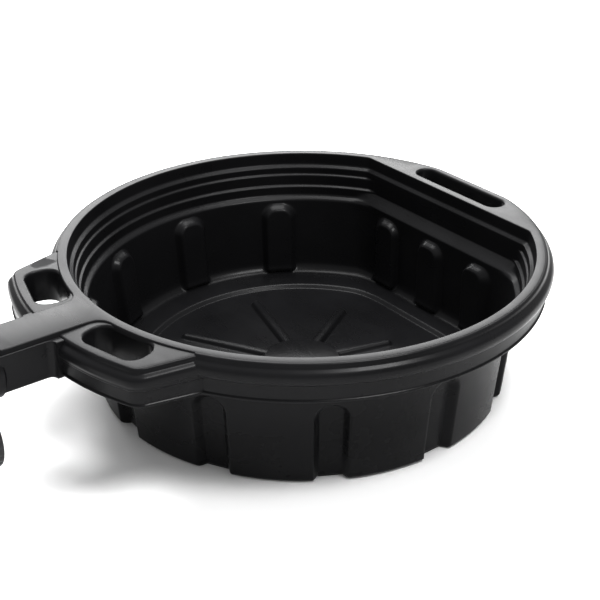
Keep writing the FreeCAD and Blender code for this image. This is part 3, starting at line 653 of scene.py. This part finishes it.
def build_tether():
    """The tether as one flexible moulding: ring, tab, strap and eye."""
    sheet = Sheet()
    ring = [(RING_X + along, 22.6 + out) for along, out in round_box(2.35, 2.0, 0.9)]
    sheet.rows(turned(ring + ring[:1], (0.0, NECK_AXIS), 96), flip=True)
    eye_ring = [(-340.5 + along, 8.05 + out) for along, out in round_box(1.2, 2.9, 0.6)]
    sheet.rows(turned(eye_ring + eye_ring[:1], (0.0, CAP_AXIS), 64), flip=True)
    path = strap_path()
    rows = []
    for index, (x, z) in enumerate(path):
        before = path[max(index - 1, 0)]
        after = path[min(index + 1, len(path) - 1)]
        way = np.array([after[0] - before[0], after[1] - before[1]])
        way = way / np.linalg.norm(way)
        side = np.array([-way[1], way[0]])
        wide = 4.5 + 2.0 * float(smooth((x - RING_X + 4.0) / 6.0)) * 0.3
        rows.append([(x + side[0] * up, across, z + side[1] * up)
                     for across, up in round_box(wide, 1.2, 0.8)])
    made = sheet.rows(rows, flip=False)
    sheet.mesh.faces.new(made[0])
    sheet.mesh.faces.new(made[-1][::-1])
    tab = [[(x, across, 84.6 + up) for across, up in round_box(4.9, 3.2, 1.0)]
           for x in (RING_X - 2.3, RING_X - 1.9, RING_X + 1.9, RING_X + 2.3)]
    for row, shrink in zip((tab[0], tab[-1]), (0.93, 0.93)):
        row[:] = [(x, y * shrink, 84.6 + (z - 84.6) * shrink) for x, y, z in row]
    ends = sheet.rows(tab)
    sheet.mesh.faces.new(ends[0])
    sheet.mesh.faces.new(ends[-1][::-1])
    sheet.weld()
    bmesh.ops.recalc_face_normals(sheet.mesh, faces=sheet.mesh.faces)
    return sheet


# ---- materials ----

def plastic(name, base, rough, bump_size, bump_depth, specular=0.5):
    """A moulded surface: fine grain, faint flow marks and patches rubbed smoother or rougher."""
    material = bpy.data.materials.new(name)
    material.use_nodes = True
    nodes = material.node_tree.nodes
    links = material.node_tree.links
    shader = nodes["Principled BSDF"]
    shader.inputs["IOR"].default_value = 1.5
    shader.inputs["Specular IOR Level"].default_value = specular
    where = nodes.new("ShaderNodeTexCoord")

    def noise(scale, detail, stretch=(1, 1, 1)):
        mapping = nodes.new("ShaderNodeMapping")
        mapping.inputs["Scale"].default_value = stretch
        links.new(where.outputs["Object"], mapping.inputs["Vector"])
        texture = nodes.new("ShaderNodeTexNoise")
        texture.inputs["Scale"].default_value = scale
        texture.inputs["Detail"].default_value = detail
        links.new(mapping.outputs["Vector"], texture.inputs["Vector"])
        return texture.outputs["Fac"]

    def ramp(source, low, high, start=0.35, end=0.65):
        scale = nodes.new("ShaderNodeMapRange")
        scale.inputs["From Min"].default_value = start
        scale.inputs["From Max"].default_value = end
        scale.inputs["To Min"].default_value = low
        scale.inputs["To Max"].default_value = high
        links.new(source, scale.inputs["Value"])
        return scale.outputs["Result"]

    def combine(operation, first, second):
        math_node = nodes.new("ShaderNodeMath")
        math_node.operation = operation
        links.new(first, math_node.inputs[0])
        links.new(second, math_node.inputs[1])
        return math_node.outputs["Value"]

    patches = noise(9.0, 4.0)
    grain = noise(1 / bump_size, 3.0)
    flow = noise(60.0, 5.0, (1.0, 0.18, 1.0))
    colour = nodes.new("ShaderNodeMixRGB")
    colour.inputs["Color1"].default_value = (*[part * 0.8 for part in base], 1)
    colour.inputs["Color2"].default_value = (*[part * 1.25 for part in base], 1)
    links.new(ramp(patches, 0.0, 1.0), colour.inputs["Fac"])
    links.new(colour.outputs["Color"], shader.inputs["Base Color"])
    roughness = combine("ADD", ramp(patches, rough - 0.03, rough + 0.03), ramp(flow, -0.025, 0.025))
    links.new(roughness, shader.inputs["Roughness"])
    bump = nodes.new("ShaderNodeBump")
    bump.inputs["Strength"].default_value = 0.35
    bump.inputs["Distance"].default_value = bump_depth
    links.new(combine("ADD", ramp(grain, 0.0, 1.0), ramp(flow, 0.0, 1.2)), bump.inputs["Height"])
    links.new(bump.outputs["Normal"], shader.inputs["Normal"])
    return material


def add_piece(name, sheet, material, nodes, body=None, sharp=32.0):
    """Turn a sheet into a piece in metres, in place of its CAD nodes."""
    mesh = bpy.data.meshes.new(name)
    bmesh.ops.scale(sheet.mesh, vec=(MM, MM, MM), verts=sheet.mesh.verts)
    sheet.mesh.to_mesh(mesh)
    sheet.mesh.free()
    mesh.set_sharp_from_angle(angle=math.radians(sharp))
    mesh.materials.append(material)
    piece = bpy.data.objects.new(name, mesh)
    bpy.context.scene.collection.objects.link(piece)
    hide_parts(*nodes)
    if body:
        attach(piece, body)
    return piece


# ---- stage, light and camera ----

def add_floor_plane():
    """A plain pale floor, far larger than the view."""
    material = bpy.data.materials.new("pale_floor")
    material.use_nodes = True
    shader = material.node_tree.nodes["Principled BSDF"]
    shader.inputs["Base Color"].default_value = (0.93, 0.93, 0.93, 1)
    shader.inputs["Roughness"].default_value = 0.9
    shader.inputs["Specular IOR Level"].default_value = 0.1
    mesh = bpy.data.meshes.new("stage_floor")
    half = 12.0
    corners = [(-half, -half, 0), (half, -half, 0), (half, half, 0), (-half, half, 0)]
    mesh.from_pydata(corners, [], [(0, 1, 2, 3)])
    mesh.materials.append(material)
    plane = bpy.data.objects.new("stage_floor", mesh)
    plane.location.z = -0.0005
    bpy.context.scene.collection.objects.link(plane)


def add_panel(name, azimuth, elevation, distance, size, radiance, aim=(0.0, 0.0, 0.1)):
    """A soft panel of light that faces the pan from a direction, with a set brightness."""
    light = bpy.data.lights.new(name, "AREA")
    light.shape = "RECTANGLE"
    light.size, light.size_y = size
    light.energy = radiance * math.pi * size[0] * size[1]
    lamp = bpy.data.objects.new(name, light)
    turn, rise = math.radians(azimuth), math.radians(elevation)
    way = Vector((math.sin(turn) * math.cos(rise), -math.cos(turn) * math.cos(rise), math.sin(rise)))
    lamp.location = Vector(aim) + way * distance
    lamp.rotation_euler = way.to_track_quat("Z", "Y").to_euler()
    bpy.context.scene.collection.objects.link(lamp)


CAMERA_AZIMUTH = -37.35
CAMERA_ELEVATION = 25.35


def add_camera():
    data = bpy.data.cameras.new("camera")
    camera = bpy.data.objects.new("camera", data)
    turn, rise = math.radians(CAMERA_AZIMUTH), math.radians(CAMERA_ELEVATION)
    way = Vector((math.sin(turn) * math.cos(rise), -math.cos(turn) * math.cos(rise), math.sin(rise)))
    camera.location = Vector((0.0, 0.0, 0.1325)) + way * 1.176
    camera.rotation_euler = way.to_track_quat("Z", "Y").to_euler()
    data.sensor_width = 36.0
    data.lens = 77.1
    data.shift_x = -0.0028
    data.shift_y = -0.1017
    bpy.context.scene.collection.objects.link(camera)
    bpy.context.scene.camera = camera


def add_light():
    scene = bpy.context.scene
    scene.view_settings.view_transform = "Standard"
    scene.view_settings.gamma = 0.8
    world = bpy.data.worlds.new("world")
    world.use_nodes = True
    world.node_tree.nodes["Background"].inputs["Color"].default_value = (1, 1, 1, 1)
    world.node_tree.nodes["Background"].inputs["Strength"].default_value = 0.8
    scene.world = world
    back = CAMERA_AZIMUTH + 180.0
    add_panel("backdrop_light", back + 8.0, 30.0, 2.2, (2.3, 1.2), 7.0)
    add_panel("top_light", back + 12.0, 72.0, 1.6, (1.3, 1.0), 10.0)
    add_panel("key_light", 8.0, 60.0, 1.8, (0.5, 0.5), 30.0)


add_camera()
add_light()
add_floor_plane()
pan_plastic = plastic("pan_plastic_look", (0.009, 0.009, 0.0098), 0.29, 0.0009, 0.00004, 0.16)
cap_plastic = plastic("cap_plastic_look", (0.014, 0.014, 0.0148), 0.34, 0.0008, 0.0001)
tether_plastic = plastic("tether_plastic_look", (0.02, 0.02, 0.021), 0.42, 0.0007, 0.0001)
gasket_rubber = plastic("gasket_rubber_look", (0.022, 0.022, 0.022), 0.6, 0.0005, 0.0001)

add_piece("pan_moulding", build_pan(), pan_plastic, ["pan"], "tub")
add_piece("screw_cap", build_cap(), cap_plastic, ["spout_cap"], "cap")
add_piece("cap_seal", build_gasket(), gasket_rubber, ["cap_gasket"], "cap")
tether = add_piece("tether", build_tether(), tether_plastic,
                   ["tether_neck_ring", "tether_strap_upper", "tether_strap_lower", "tether_eye"])
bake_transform(tether)
